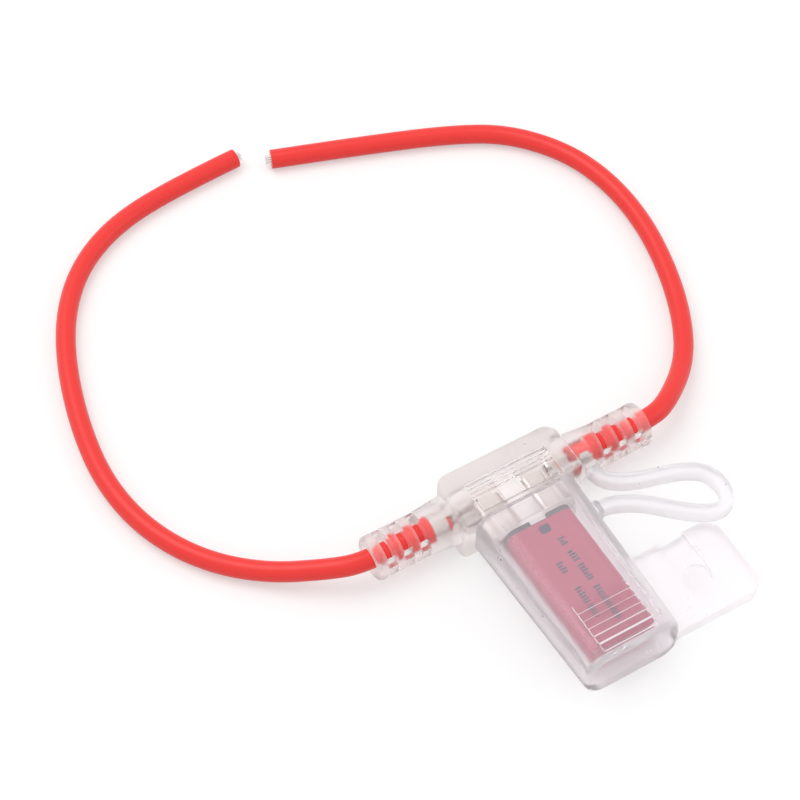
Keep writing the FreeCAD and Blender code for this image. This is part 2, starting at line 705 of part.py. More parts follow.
# The bimetal arm: welded to the left tang, it widens to carry the moving contact.
def make_arm():
    body = new_body("bimetal_arm")
    left = "-(can_inside - arm_side_gap)"
    right = "can_inside - arm_side_gap"
    sketch = polygon(new_sketch(body, "XY_Plane", "blade_top"), [
        (left, "-arm_root"),
        ("-(blade_place - blade_width / 2)", "-arm_root"),
        ("-(blade_place - blade_width / 2)", "-arm_root - arm_length / 2"),
        (right, "-arm_end + arm_end_length"),
        (right, "-arm_end"),
        (left, "-arm_end"),
    ])
    pad(body, sketch, "arm_thickness")
    return body


def make_contact(label, bottom):
    """A round contact button, as a plain cylinder bound to the sheet."""
    button = document.addObject("Part::Cylinder", label)
    button.Label = label
    button.setExpression("Radius", full("contact_radius"))
    button.setExpression("Height", full("contact_height"))
    button.setExpression("Placement.Base.x", full(tang_middle("")))
    button.setExpression("Placement.Base.y", full("-contact_place"))
    button.setExpression("Placement.Base.z", full(bottom))
    return button


def lengthwise_rod(name, radius, start, end, sign):
    """A cylinder along X at the wires' height, from start to end on one side."""
    rod = document.addObject("Part::Cylinder", name)
    rod.setExpression("Radius", full(radius))
    rod.setExpression("Height", full("%s - (%s)" % (end, start)))
    rod.Placement = Placement(Vector(0, 0, 0), Rotation(Vector(0, 1, 0), 90 * sign))
    rod.setExpression("Placement.Base.x", full("%s * (%s)" % (sign, start)))
    rod.setExpression("Placement.Base.z", full("axis_height"))
    return rod


def make_conductor(label, sign):
    rod = lengthwise_rod(label, "conductor_diameter / 2", "crimp_start + 0.4", "split_place", sign)
    rod.Label = label
    return rod


def make_insulation(label, sign):
    outer = lengthwise_rod(label + "_outer", "wire_diameter / 2", "insulation_start", "split_place", sign)
    hole = lengthwise_rod(label + "_hole", "conductor_diameter / 2", "insulation_start", "split_place", sign)
    tube = document.addObject("Part::Cut", label)
    tube.Label = label
    tube.Base = outer
    tube.Tool = hole
    return tube


def rounded_path(points):
    """Straight runs joined by arcs, each as large as its two runs allow."""
    edges = []
    radii = []
    start = points[0]
    for before, corner, after in zip(points, points[1:], points[2:]):
        incoming = (corner - before).normalize()
        outgoing = (after - corner).normalize()
        turn = math.acos(max(-1.0, min(1.0, incoming.dot(outgoing))))
        reach = 0.45 * min((corner - before).Length, (after - corner).Length)
        radius = reach / math.tan(turn / 2)
        radii.append(radius)
        arc_start = corner - incoming * reach
        arc_end = corner + outgoing * reach
        inward = (outgoing - incoming).normalize()
        middle = corner + inward * (radius / math.cos(turn / 2) - radius)
        edges.append(Part.LineSegment(start, arc_start).toShape())
        edges.append(Part.Arc(arc_start, middle, arc_end).toShape())
        start = arc_end
    edges.append(Part.LineSegment(start, points[-1]).toShape())
    return Part.Wire(edges), radii


# Routes of the free leads, chosen by hand: a loose open loop on the surface.
# The first two places are measured from the middle of the collar's face,
# the others give x, y and the gap between the lead and the surface.
LEFT_EXIT = [(-1.0, 0.0, 0.0), (-5.5, 1.9, -0.6)]
LEFT_ROUTE = [
    (-36.5, 7.3, 0.45),
    (-43.2, 14.2, 0.05),
    (-47.6, 23.1, 0.05),
    (-49.0, 33.3, 0.05),
    (-47.5, 44.2, 0.05),
    (-44.0, 55.8, 0.05),
    (-39.4, 65.0, 0.05),
    (-32.9, 72.1, 0.05),
    (-24.2, 76.6, 0.05),
    (-12.8, 78.3, 0.05),
    (-1.9, 78.7, 0.05),
]
RIGHT_EXIT = [(1.6, 0.0, 0.0), (5.7, 1.4, -0.6)]
RIGHT_ROUTE = [
    (36.6, 7.4, 0.45),
    (41.4, 14.9, 0.05),
    (44.9, 24.2, 0.05),
    (47.0, 34.3, 0.05),
    (46.9, 43.8, 0.05),
    (44.5, 52.3, 0.05),
    (38.8, 60.1, 0.05),
    (31.3, 64.8, 0.05),
    (17.2, 70.4, 0.05),
    (2.9, 75.5, 0.05),
]
# Route of the tether strap between its root on the right relief and the cap's side.
STRAP_ROUTE = [
    (25.1, -10.9),
    (27.2, -15.3),
    (25.9, -19.3),
    (21.7, -18.9),
]


def lead_points(exit_places, route):
    """The route's places in the part's frame, from the end of the insulation on."""
    side = math.copysign(1.0, route[0][0])
    height = size("axis_height")
    collar = Vector(side * size("relief_end"), 0, height)
    points = [Vector(side * size("split_place"), 0, height)]
    points += [collar + Vector(*place) for place in exit_places]
    points += [Vector(x, y, size("wire_diameter") / 2 + gap) for x, y, gap in route]
    return points


def make_lead(label, points):
    """The free stretch of one insulated lead, solid, along its route."""
    path, radii = rounded_path(points)
    radius = size("wire_diameter") / 2
    disc = Part.Face(Part.Wire(Part.Circle(points[0], points[1] - points[0], radius).toShape()))
    tube = Part.Wire(path.Edges).makePipeShell([disc.OuterWire], True, True)
    if tube.Volume < 0:
        tube.reverse()
    expected = math.pi * radius ** 2 * path.Length
    print("%s: length %.1f mm, volume %.4f of section times length" % (label, path.Length, tube.Volume / expected))
    print("  radii: " + ", ".join("%.1f" % value for value in radii))
    lead = document.addObject("Part::Feature", label)
    lead.Label = label
    lead.Shape = tube
    return lead


def make_strands(label, points):
    """The conductor's strands, one amid two rings, standing out of the cut end."""
    end = points[-1]
    along = (end - points[-2]).normalize()
    across = along.cross(Vector(0, 0, 1)).normalize()
    upward = across.cross(along)
    radius = size("strand_diameter") / 2
    ring_step = (size("conductor_diameter") / 2 - radius) / 2
    places = [Vector(0, 0, 0)]
    for ring, count in ((1, 6), (2, 12)):
        for number in range(count):
            angle = 2 * math.pi * number / count
            places.append(across * (ring * ring_step * math.cos(angle)) + upward * (ring * ring_step * math.sin(angle)))
    strands = []
    for number, place in enumerate(places):
        reach = size("strand_reach") * (1.0 - 0.12 * (number % 3))
        strands.append(Part.makeCylinder(radius * 0.97, reach, end + place, along))
    group = document.addObject("Part::Feature", label)
    group.Label = label
    group.Shape = Part.makeCompound(strands)
    return group


# The strap is a soft strip that loops from the relief to the cap.
def make_strap():
    height = size("strap_height_place")
    root_x = size("block_side + strap_root_inset + strap_width / 2")
    end_y = -size("cap_mouth + strap_end_place")
    points = [Vector(root_x, -size("relief_diameter / 2 + strap_root_reach"), height), Vector(root_x, -7.6, height)]
    points += [Vector(x, y, height) for x, y in STRAP_ROUTE]
    points += [Vector(13.0, end_y, height), Vector(size("cap_mouth_width / 2 + strap_end_reach"), end_y, height)]
    path, radii = rounded_path(points)
    across = Vector(size("strap_width") / 2, 0, 0)
    upward = Vector(0, 0, size("strap_height") / 2)
    start = points[0]
    corners = [start - across - upward, start + across - upward, start + across + upward, start - across + upward]
    section = Part.makePolygon(corners + corners[:1])
    strip = path.makePipeShell([section], True, True)
    if strip.Volume < 0:
        strip.reverse()
    print("tether_strap: length %.1f mm, least radius %.1f mm" % (path.Length, min(radii)))
    strap = document.addObject("Part::Feature", "tether_strap")
    strap.Label = "tether_strap"
    strap.Shape = strip
    return strap


pieces = [make_holder_body(), make_cap(), make_strap()]
pieces.append(make_terminal("terminal_right"))
# the left terminal is the same stamping turned half round about the Y direction
left_terminal = make_terminal("terminal_left")
left_terminal.Placement = Placement(Vector(0, 0, 0), Rotation(Vector(0, 1, 0), 180))
left_terminal.setExpression("Placement.Base.z", full("2 * axis_height"))
pieces.append(left_terminal)
for name, sign, points in (("left", -1, lead_points(LEFT_EXIT, LEFT_ROUTE)),
                           ("right", 1, lead_points(RIGHT_EXIT, RIGHT_ROUTE))):
    pieces.append(make_conductor("conductor_" + name, sign))
    pieces.append(make_insulation("insulation_" + name, sign))
    pieces.append(make_lead("lead_" + name, points))
    pieces.append(make_strands("strands_" + name, points))
pieces.append(make_breaker_can())
pieces.append(make_breaker_base())
pieces.append(make_blade_left())
pieces.append(make_blade_right())
pieces.append(make_arm())
pieces.append(make_contact("moving_contact", "blade_top - contact_height"))
pieces.append(make_contact("fixed_contact", "lower_blade_top"))

document.recompute()
for item in document.Objects:
    if "Invalid" in item.State or "Error" in item.State:
        raise RuntimeError("%s failed: %s" % (item.Label, item.State))
os.makedirs("parts", exist_ok=True)
for piece in pieces:
    shape = piece.Shape
    if shape.isNull() or not shape.isValid() or not shape.Solids:
        raise RuntimeError("%s has no valid solid" % piece.Label)
    shape.exportStep("parts/%s.step" % piece.Label)
    print("%-16s %d solid, volume %.2f mm3" % (piece.Label, len(shape.Solids), shape.Volume))
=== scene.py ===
# %% [markdown]
# # An inline fuse holder with a plugged-in circuit breaker
# A soft clear plastic holder joins two red wires. A cap with a mounting tab is
# pulled over the breaker, and a bent strap keeps the cap on the holder. The solids
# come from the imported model, so this script starts by loading them. Everything that
# follows dresses them: camera, light, finishes, and the pieces that need a softer
# or finer shape than a solid gives.

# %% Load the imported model
import math
import bmesh
import bpy
from mathutils import Matrix, Vector


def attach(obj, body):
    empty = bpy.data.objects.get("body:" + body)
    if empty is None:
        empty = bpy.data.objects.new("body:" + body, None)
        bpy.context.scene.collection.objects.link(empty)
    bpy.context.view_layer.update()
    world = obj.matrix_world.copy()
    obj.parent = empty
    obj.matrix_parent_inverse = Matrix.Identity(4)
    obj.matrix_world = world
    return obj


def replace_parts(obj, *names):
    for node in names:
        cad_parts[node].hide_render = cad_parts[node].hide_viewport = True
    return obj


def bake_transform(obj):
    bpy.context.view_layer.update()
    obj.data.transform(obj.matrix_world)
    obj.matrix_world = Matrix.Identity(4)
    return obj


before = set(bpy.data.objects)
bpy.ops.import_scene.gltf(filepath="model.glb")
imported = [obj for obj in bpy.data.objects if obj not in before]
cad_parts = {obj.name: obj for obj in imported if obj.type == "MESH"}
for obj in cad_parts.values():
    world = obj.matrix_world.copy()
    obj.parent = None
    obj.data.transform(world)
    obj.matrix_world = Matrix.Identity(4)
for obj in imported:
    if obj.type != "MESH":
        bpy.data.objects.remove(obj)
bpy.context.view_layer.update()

MM = 0.001
print("nodes:", sorted(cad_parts))

# %% [markdown]
# ## The camera
# The photograph was taken from above and slightly to the left, with a long lens.
# A camera in Blender looks along its own -Z axis, so it is placed by the distance
# and the two angles, and then turned to look back at one point of the holder.

# %% Camera
VIEW_AZIMUTH = math.radians(-31.0)
VIEW_ELEVATION = math.radians(54.2)
VIEW_POINT = Vector((-3.64, 24.34, 0.9)) * MM
VIEW_DISTANCE = 411.56 * MM
FOCAL_PIXELS = 2727
IMAGE_PIXELS = 800

camera_data = bpy.data.cameras.new("view")
camera_data.sensor_width = 36
camera_data.lens = FOCAL_PIXELS / IMAGE_PIXELS * camera_data.sensor_width
camera_data.clip_start = 0.01
camera_data.clip_end = 20
camera = bpy.data.objects.new("view", camera_data)
bpy.context.scene.collection.objects.link(camera)
away = Vector((math.sin(VIEW_AZIMUTH) * math.cos(VIEW_ELEVATION),
               -math.cos(VIEW_AZIMUTH) * math.cos(VIEW_ELEVATION),
               math.sin(VIEW_ELEVATION)))
camera.location = VIEW_POINT + away * VIEW_DISTANCE
camera.rotation_euler = (-away).to_track_quat("-Z", "Y").to_euler()
bpy.context.scene.camera = camera
print("camera lens:", round(camera_data.lens, 1), "mm")

# %% [markdown]
# ## The two leads
# Each lead is a flexible wire that lies in a loose curve on the table. A curve with a round
# bevel is the natural way: its control points are the turning points of the route,
# and the spline rounds them off. A quadratic NURBS spline stays close to its points
# and leaves the strain relief exactly along the relief's own axis.

# %% Leads
WIRE_DIAMETER = 3.1 * MM
LEFT_ROUTE = [(-19.775, 0, 4.8), (-24.4, 0, 4.8), (-28.9, 1.9, 4.2), (-36.5, 7.3, 2.0),
              (-43.2, 14.2, 1.6), (-47.6, 23.1, 1.6), (-49.0, 33.3, 1.6), (-47.5, 44.2, 1.6),
              (-44.0, 55.8, 1.6), (-39.4, 65.0, 1.6), (-32.9, 72.1, 1.6), (-24.2, 76.6, 1.6),
              (-12.8, 78.3, 1.6), (-1.9, 78.7, 1.6)]
RIGHT_ROUTE = [(19.775, 0, 4.8), (25.0, 0, 4.8), (29.1, 1.4, 4.2), (36.6, 7.4, 2.0),
               (41.4, 14.9, 1.6), (44.9, 24.2, 1.6), (47.0, 34.3, 1.6), (46.9, 43.8, 1.6),
               (44.5, 52.3, 1.6), (38.8, 60.1, 1.6), (31.3, 64.8, 1.6), (17.2, 70.4, 1.6),
               (2.9, 75.5, 1.6)]
LEFT_LENGTH = 0.1236
RIGHT_LENGTH = 0.1153
LEAD_STEPS = 12        # steps of the curve between two control points
LEAD_ROUNDNESS = 8     # a higher value makes the section rounder


def lead_curve(name, route):
    """A round lead along the route, whose points are in millimetres."""
    data = bpy.data.curves.new(name, "CURVE")
    data.dimensions = "3D"
    spline = data.splines.new("NURBS")
    spline.points.add(len(route) - 1)
    for point, place in zip(spline.points, route):
        point.co = (*(Vector(place) * MM), 1)
        point.radius = WIRE_DIAMETER / 2
    spline.order_u = 3
    spline.use_endpoint_u = True
    spline.resolution_u = LEAD_STEPS
    data.bevel_depth = 1
    data.bevel_resolution = LEAD_ROUNDNESS
    data.use_fill_caps = True
    lead = bpy.data.objects.new(name, data)
    bpy.context.scene.collection.objects.link(lead)
    return lead


leads = {}
for side, route, length in (("left", LEFT_ROUTE, LEFT_LENGTH), ("right", RIGHT_ROUTE, RIGHT_LENGTH)):
    lead = lead_curve("red_lead_" + side, route)
    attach(lead, "holder")
    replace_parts(lead, "lead_" + side)
    leads[side] = lead
    print(lead.name, "has", len(route), "control points")

# %% [markdown]
# ## An uneven surface
# Moulded plastic, drawn wire and rolled sheet are never perfectly smooth. One shader
# group mixes a broad and a fine noise, and each material takes it with its own scale.
# It puts out a height for a Bump node and a value for small changes of roughness.

# %% Uneven surface group
FINE_TIMES = 6             # the fine noise has this many times the broad one's scale
ROUGHNESS_SPAN = 0.16      # from the smoothest to the roughest place


def uneven_group():
    """A node group with a broad and a fine noise in one height."""
    tree = bpy.data.node_groups.new("uneven surface", "ShaderNodeTree")
    tree.interface.new_socket(name="Vector", in_out="INPUT", socket_type="NodeSocketVector")
    for name in ("Scale", "Fine share", "Roughness"):
        tree.interface.new_socket(name=name, in_out="INPUT", socket_type="NodeSocketFloat")
    for name in ("Height", "Roughness"):
        tree.interface.new_socket(name=name, in_out="OUTPUT", socket_type="NodeSocketFloat")
    enter = tree.nodes.new("NodeGroupInput")
    leave = tree.nodes.new("NodeGroupOutput")
    broad = tree.nodes.new("ShaderNodeTexNoise")
    fine = tree.nodes.new("ShaderNodeTexNoise")
    finer = tree.nodes.new("ShaderNodeMath")
    finer.operation = "MULTIPLY"
    finer.inputs[1].default_value = FINE_TIMES
    mix = tree.nodes.new("ShaderNodeMix")
    mix.data_type = "FLOAT"
    vary = tree.nodes.new("ShaderNodeMath")
    vary.operation = "MULTIPLY_ADD"
    vary.inputs[1].default_value = ROUGHNESS_SPAN
    lower = tree.nodes.new("ShaderNodeMath")
    lower.operation = "SUBTRACT"
    lower.inputs[1].default_value = ROUGHNESS_SPAN / 2
    for noise in (broad, fine):
        tree.links.new(enter.outputs["Vector"], noise.inputs["Vector"])
    tree.links.new(enter.outputs["Scale"], broad.inputs["Scale"])
    tree.links.new(enter.outputs["Scale"], finer.inputs[0])
    tree.links.new(finer.outputs[0], fine.inputs["Scale"])
    tree.links.new(enter.outputs["Fine share"], mix.inputs["Factor"])
    tree.links.new(broad.outputs["Fac"], mix.inputs["A"])
    tree.links.new(fine.outputs["Fac"], mix.inputs["B"])
    tree.links.new(mix.outputs["Result"], leave.inputs["Height"])
    tree.links.new(mix.outputs["Result"], vary.inputs[0])
    tree.links.new(enter.outputs["Roughness"], lower.inputs[0])
    tree.links.new(lower.outputs[0], vary.inputs[2])
    tree.links.new(vary.outputs[0], leave.inputs["Roughness"])
    return tree


UNEVEN = uneven_group()
print("group:", UNEVEN.name, [s.name for s in UNEVEN.interface.items_tree])

# %% [markdown]
# ## Polished windows
# The plastic is frosted nearly everywhere, and clearer in three windows: over the
# contacts in the block, over the breaker, and over the ribs near the cap's closed
# end. A mask does this well, because the roughness changes and the shape doesn't.
# The group turns a place on the part into 1 inside a rectangle and 0 outside.

# %% Window group
WINDOW_SOFTNESS = 0.1 * MM


def window_group():
    """A node group with a soft-edged rectangular mask in X and Y."""
    tree = bpy.data.node_groups.new("window mask", "ShaderNodeTree")
    tree.interface.new_socket(name="Vector", in_out="INPUT", socket_type="NodeSocketVector")
    for side in "XY":
        tree.interface.new_socket(name="Middle " + side, in_out="INPUT", socket_type="NodeSocketFloat")
        tree.interface.new_socket(name="Half " + side, in_out="INPUT", socket_type="NodeSocketFloat")
    tree.interface.new_socket(name="Mask", in_out="OUTPUT", socket_type="NodeSocketFloat")
    enter = tree.nodes.new("NodeGroupInput")
    leave = tree.nodes.new("NodeGroupOutput")
    split = tree.nodes.new("ShaderNodeSeparateXYZ")
    both = tree.nodes.new("ShaderNodeMath")
    both.operation = "MULTIPLY"
    tree.links.new(enter.outputs["Vector"], split.inputs["Vector"])
    for slot, side in enumerate("XY"):
        shift = tree.nodes.new("ShaderNodeMath")
        shift.operation = "SUBTRACT"
        away = tree.nodes.new("ShaderNodeMath")
        away.operation = "ABSOLUTE"
        inside = tree.nodes.new("ShaderNodeMath")
        inside.operation = "SUBTRACT"
        edge = tree.nodes.new("ShaderNodeMapRange")
        edge.inputs["From Min"].default_value = -WINDOW_SOFTNESS
        edge.inputs["From Max"].default_value = WINDOW_SOFTNESS
        tree.links.new(split.outputs[side], shift.inputs[0])
        tree.links.new(enter.outputs["Middle " + side], shift.inputs[1])
        tree.links.new(shift.outputs[0], away.inputs[0])
        tree.links.new(enter.outputs["Half " + side], inside.inputs[0])
        tree.links.new(away.outputs[0], inside.inputs[1])
        tree.links.new(inside.outputs[0], edge.inputs["Value"])
        tree.links.new(edge.outputs["Result"], both.inputs[slot])
    tree.links.new(both.outputs[0], leave.inputs["Mask"])
    return tree


WINDOW = window_group()
print("group:", WINDOW.name, [s.name for s in WINDOW.interface.items_tree])

# %% [markdown]
# ## Finishes
# Every finish starts the same way: a Principled shader, the uneven group on Object
# coordinates, and a Bump node. Only the numbers and what is painted on top differ.

# %% A finish with an uneven surface
def finish(name, colour, roughness, scale, depth, fine=0.4, metallic=0.0):
    """A material with an uneven surface. Depth is in millimetres, scale in noise cells for a metre."""
    material = bpy.data.materials.new(name)
    material.use_nodes = True
    nodes, links = material.node_tree.nodes, material.node_tree.links
    shader = nodes["Principled BSDF"]
    shader.inputs["Base Color"].default_value = (*colour, 1)
    shader.inputs["Metallic"].default_value = metallic
    place = nodes.new("ShaderNodeTexCoord")
    uneven = nodes.new("ShaderNodeGroup")
    uneven.node_tree = UNEVEN
    uneven.inputs["Scale"].default_value = scale
    uneven.inputs["Fine share"].default_value = fine
    uneven.inputs["Roughness"].default_value = roughness
    bump = nodes.new("ShaderNodeBump")
    bump.inputs["Strength"].default_value = 1.0
    bump.inputs["Distance"].default_value = depth * MM
    links.new(place.outputs["Object"], uneven.inputs["Vector"])
    links.new(uneven.outputs["Height"], bump.inputs["Height"])
    links.new(bump.outputs["Normal"], shader.inputs["Normal"])
    links.new(uneven.outputs["Roughness"], shader.inputs["Roughness"])
    return material


# %% [markdown]
# ## Clear plastic
# The clear plastic lets most light through and scatters the rest at its surface. A
# Principled shader does both, by its Transmission Weight. Its index of refraction is
# set below that of real soft plastic, because a higher one gave the edges a dark
# line. For shadows the plastic counts as a plain clear sheet, so its shadow is pale.

# %% Clear finish
CLEAR_IOR = 1.25
SHEEN = 0.35
SHEEN_ROUGHNESS = 0.45
SHADOW_TINT = (0.95, 0.95, 0.95)


def clear_finish(name, colour, roughness, haze, scale, depth, windows=()):
    """A clear plastic. Haze is the share of light that its surface scatters, and the rest goes through."""
    material = finish(name, colour, roughness, scale, depth)
    nodes, links = material.node_tree.nodes, material.node_tree.links
    shader = nodes["Principled BSDF"]
    shader.inputs["Transmission Weight"].default_value = 1 - haze
    shader.inputs["IOR"].default_value = CLEAR_IOR
    shader.inputs["Sheen Weight"].default_value = SHEEN
    shader.inputs["Sheen Roughness"].default_value = SHEEN_ROUGHNESS
    shader.inputs["Sheen Tint"].default_value = (*colour, 1)
    rough = next(n for n in nodes if n.type == "GROUP").outputs["Roughness"]
    for sides, value in windows:
        area = nodes.new("ShaderNodeGroup")
        area.node_tree = WINDOW
        for side, (low, high) in zip("XY", sides):
            area.inputs["Middle " + side].default_value = (low + high) / 2 * MM
            area.inputs["Half " + side].default_value = (high - low) / 2 * MM
        polish = nodes.new("ShaderNodeMix")
        polish.data_type = "FLOAT"
        polish.inputs["B"].default_value = value
        links.new(nodes["Texture Coordinate"].outputs["Object"], area.inputs["Vector"])
        links.new(area.outputs["Mask"], polish.inputs["Factor"])
        links.new(rough, polish.inputs["A"])
        rough = polish.outputs["Result"]
    links.new(rough, shader.inputs["Roughness"])
    through = nodes.new("ShaderNodeBsdfTransparent")
    through.inputs["Color"].default_value = (*SHADOW_TINT, 1)
    path = nodes.new("ShaderNodeLightPath")
    mix = nodes.new("ShaderNodeMixShader")
    links.new(path.outputs["Is Shadow Ray"], mix.inputs["Fac"])
    links.new(shader.outputs["BSDF"], mix.inputs[1])
    links.new(through.outputs["BSDF"], mix.inputs[2])
    links.new(mix.outputs["Shader"], nodes["Material Output"].inputs["Surface"])
    return material


# %% [markdown]
# ## This holder's finishes
# Each line names a finish and gives its colour, roughness, noise scale and depth. A
# clear one also has a haze. A window is a stretch along X, a stretch along Y, both
# in millimetres, and the roughness inside.

# %% Finishes
RED_PVC = finish("red insulation", (0.90, 0.030, 0.024), 0.36, 90, 0.05)
TINNED_COPPER = finish("tinned strands", (0.78, 0.76, 0.73), 0.30, 900, 0.02, metallic=1.0)
TINNED_BRASS = finish("tinned sheet", (0.74, 0.73, 0.71), 0.34, 300, 0.01, metallic=1.0)
WHITE_BASE = finish("white base", (0.86, 0.86, 0.84), 0.5, 300, 0.02)
BIMETAL = finish("bimetal strip", (0.58, 0.55, 0.50), 0.38, 500, 0.01, metallic=1.0)
SILVER = finish("silver contact", (0.86, 0.85, 0.83), 0.25, 500, 0.01, metallic=1.0)
GRIP_WINDOW = (((-6.7, 6.7), (-3.9, 1.3)), 0.06)
CAN_WINDOW = (((-5.7, 5.7), (-31.0, -4.0)), 0.10)
RIB_WINDOW = (((-4.5, 4.5), (-32.2, -23.6)), 0.06)
CLEAR_BODY = clear_finish("clear body", (0.98, 0.93, 0.925), 0.30, 0.07, 250, 0.003, [GRIP_WINDOW])
CLEAR_CAP = clear_finish("clear cap", (0.985, 0.95, 0.97), 0.30, 0.10, 250, 0.003, [CAN_WINDOW, RIB_WINDOW])
CLEAR_STRAP = clear_finish("clear strap", (0.98, 0.96, 0.98), 0.30, 0.25, 250, 0.003)
print("wire and metal:", [m.name for m in (RED_PVC, TINNED_COPPER, TINNED_BRASS, BIMETAL, SILVER)])
print("plastic:", [m.name for m in (WHITE_BASE, CLEAR_BODY, CLEAR_CAP, CLEAR_STRAP)])

# %% [markdown]
# ## The breaker can's paint
# The can is drawn from thin sheet and painted red, but the paint ends before the
# rim, where the bare grey metal shows. The paint's edge is a mask along Y.

# %% Can paint
PAINT_EDGE = -8.5 * MM
PAINT_SOFTNESS = 0.05 * MM
PAINT = (0.47, 0.085, 0.15)
BARE_METAL = (0.13, 0.12, 0.13)


def can_finish():
    """Red paint that gives way to bare grey metal near the rim."""
    material = finish("can paint", PAINT, 0.35, 400, 0.01)
    nodes, links = material.node_tree.nodes, material.node_tree.links
    shader = nodes["Principled BSDF"]
    place = nodes["Texture Coordinate"]
    split = nodes.new("ShaderNodeSeparateXYZ")
    edge = nodes.new("ShaderNodeMapRange")
    edge.inputs["From Min"].default_value = PAINT_EDGE - PAINT_SOFTNESS
    edge.inputs["From Max"].default_value = PAINT_EDGE + PAINT_SOFTNESS
    colour = nodes.new("ShaderNodeMix")
    colour.data_type = "RGBA"
    colour.inputs["A"].default_value = (*PAINT, 1)
    colour.inputs["B"].default_value = (*BARE_METAL, 1)
    links.new(place.outputs["Object"], split.inputs["Vector"])
    links.new(split.outputs["Y"], edge.inputs["Value"])
    links.new(edge.outputs["Result"], colour.inputs["Factor"])
    links.new(colour.outputs["Result"], shader.inputs["Base Color"])
    return material


CAN_PAINT = can_finish()
print("paint ends at y", round(PAINT_EDGE / MM, 1), "mm")

# %% [markdown]
# ## The solids keep their shapes
# Most solids already have the right shape, so they stay and only get a finish.

# %% Give the solids their finishes
FINISH_OF = {"holder_body": CLEAR_BODY, "cap": CLEAR_CAP, "terminal_left": TINNED_BRASS,
             "terminal_right": TINNED_BRASS, "conductor_left": TINNED_COPPER,
             "conductor_right": TINNED_COPPER, "insulation_left": RED_PVC, "insulation_right": RED_PVC,
             "strands_left": TINNED_COPPER, "strands_right": TINNED_COPPER, "breaker_can": CAN_PAINT,
             "breaker_base": WHITE_BASE, "blade_left": TINNED_BRASS, "blade_right": TINNED_BRASS,
             "bimetal_arm": BIMETAL, "moving_contact": SILVER, "fixed_contact": SILVER}
for node, material in FINISH_OF.items():
    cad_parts[node].material_slots[0].material = material
for lead in leads.values():
    lead.data.materials.append(RED_PVC)
print(len(FINISH_OF), "solids have a finish")

# %% [markdown]
# ## Insulation inside the reliefs
# In each soft relief the red shows through the clear rings as if it filled them, so
# the relief is taken to touch the insulation all round. A tube that is a hair thicker
# than the relief's bore gives that contact. Its section is a small rectangle with
# rounded corners, spun once around the lead's axis.

# %% Insulation sleeves
SLEEVE_RADIUS = 1.62
SLEEVE_BORE = 0.75
SLEEVE_START = 10.3
SLEEVE_END = 19.775
SLEEVE_ROUND = 0.12
SLEEVE_SIDES = 48
AXIS_HEIGHT = 4.8
CORNER_STEPS = 3
SHARP_ANGLE = math.radians(40)


def make_piece(name, bm, material, body):
    """A bmesh as a named piece with its material and body."""
    bmesh.ops.recalc_face_normals(bm, faces=bm.faces)
    mesh = bpy.data.meshes.new(name)
    bm.to_mesh(mesh)
    bm.free()
    mesh.shade_smooth()
    mesh.set_sharp_from_angle(angle=SHARP_ANGLE)
    mesh.materials.append(material)
    piece = bpy.data.objects.new(name, mesh)
    bpy.context.scene.collection.objects.link(piece)
    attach(piece, body)
    print(name, "has", len(mesh.polygons), "faces")
    return piece


def rounded_rectangle(bm, size_x, size_y, corner, middle=(0, 0, 0)):
    """A flat rectangle with rounded corners, with its sizes and middle in millimetres."""
    corners = bmesh.ops.create_grid(bm, x_segments=1, y_segments=1, size=0.5)["verts"]
    bmesh.ops.scale(bm, verts=corners, vec=(size_x * MM, size_y * MM, 1))
    bmesh.ops.translate(bm, verts=corners, vec=Vector(middle) * MM)
    bmesh.ops.bevel(bm, geom=corners, offset=corner * MM, offset_type="OFFSET",
                    affect="VERTICES", segments=CORNER_STEPS, profile=0.5, material=-1)


def sleeve(name, sign):
    """A tube of insulation around the lead's axis, on one side of the holder."""
    bm = bmesh.new()
    middle = (sign * (SLEEVE_START + SLEEVE_END) / 2, (SLEEVE_RADIUS + SLEEVE_BORE) / 2, AXIS_HEIGHT)
    rounded_rectangle(bm, SLEEVE_END - SLEEVE_START, SLEEVE_RADIUS - SLEEVE_BORE, SLEEVE_ROUND, middle)
    bmesh.ops.delete(bm, geom=list(bm.faces), context="FACES_ONLY")
    bmesh.ops.spin(bm, geom=bm.verts[:] + bm.edges[:], cent=(0, 0, AXIS_HEIGHT * MM), axis=(1, 0, 0),
                   angle=math.tau, steps=SLEEVE_SIDES, use_merge=True)
    return make_piece(name, bm, RED_PVC, "holder")


for side, sign in (("left", -1), ("right", 1)):
    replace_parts(sleeve("sleeve_" + side, sign), "insulation_" + side)

# %% [markdown]
# ## Print on the can
# The breaker's dark print is made of plain shapes: one rounded square and two rows of
# short bars. Each shape is a rectangle with rounded corners, thickened so that it
# starts just inside the paint and stands about a hundredth of a millimetre out of it.

# %% Can print
CAN_TOP = 7.2
PRINT_SINK = 0.01
PRINT_RISE = 0.012
BAR_WIDTH = 0.34
BAR_PITCH = 0.52
BAR_ROUND = 0.06
BAR_SHARES = (1.0, 0.72, 1.0, 0.86)   # heights of four bars in a row, as shares


def print_shape(bm, x, y, size_x, size_y, corner):
    """One flat shape of the print on the can's upper face."""
    rounded_rectangle(bm, size_x, size_y, corner, (x, y, CAN_TOP - PRINT_SINK))


def print_row(bm, x, start, end, height, gaps):
    """A row of short bars from start to end, without the bars that gaps names."""
    count = int((start - end) / BAR_PITCH)
    for number in range(count):
        if number not in gaps:
            size = height * BAR_SHARES[number % len(BAR_SHARES)]
            print_shape(bm, x - (height - size) / 2, start - number * BAR_PITCH, size, BAR_WIDTH, BAR_ROUND)


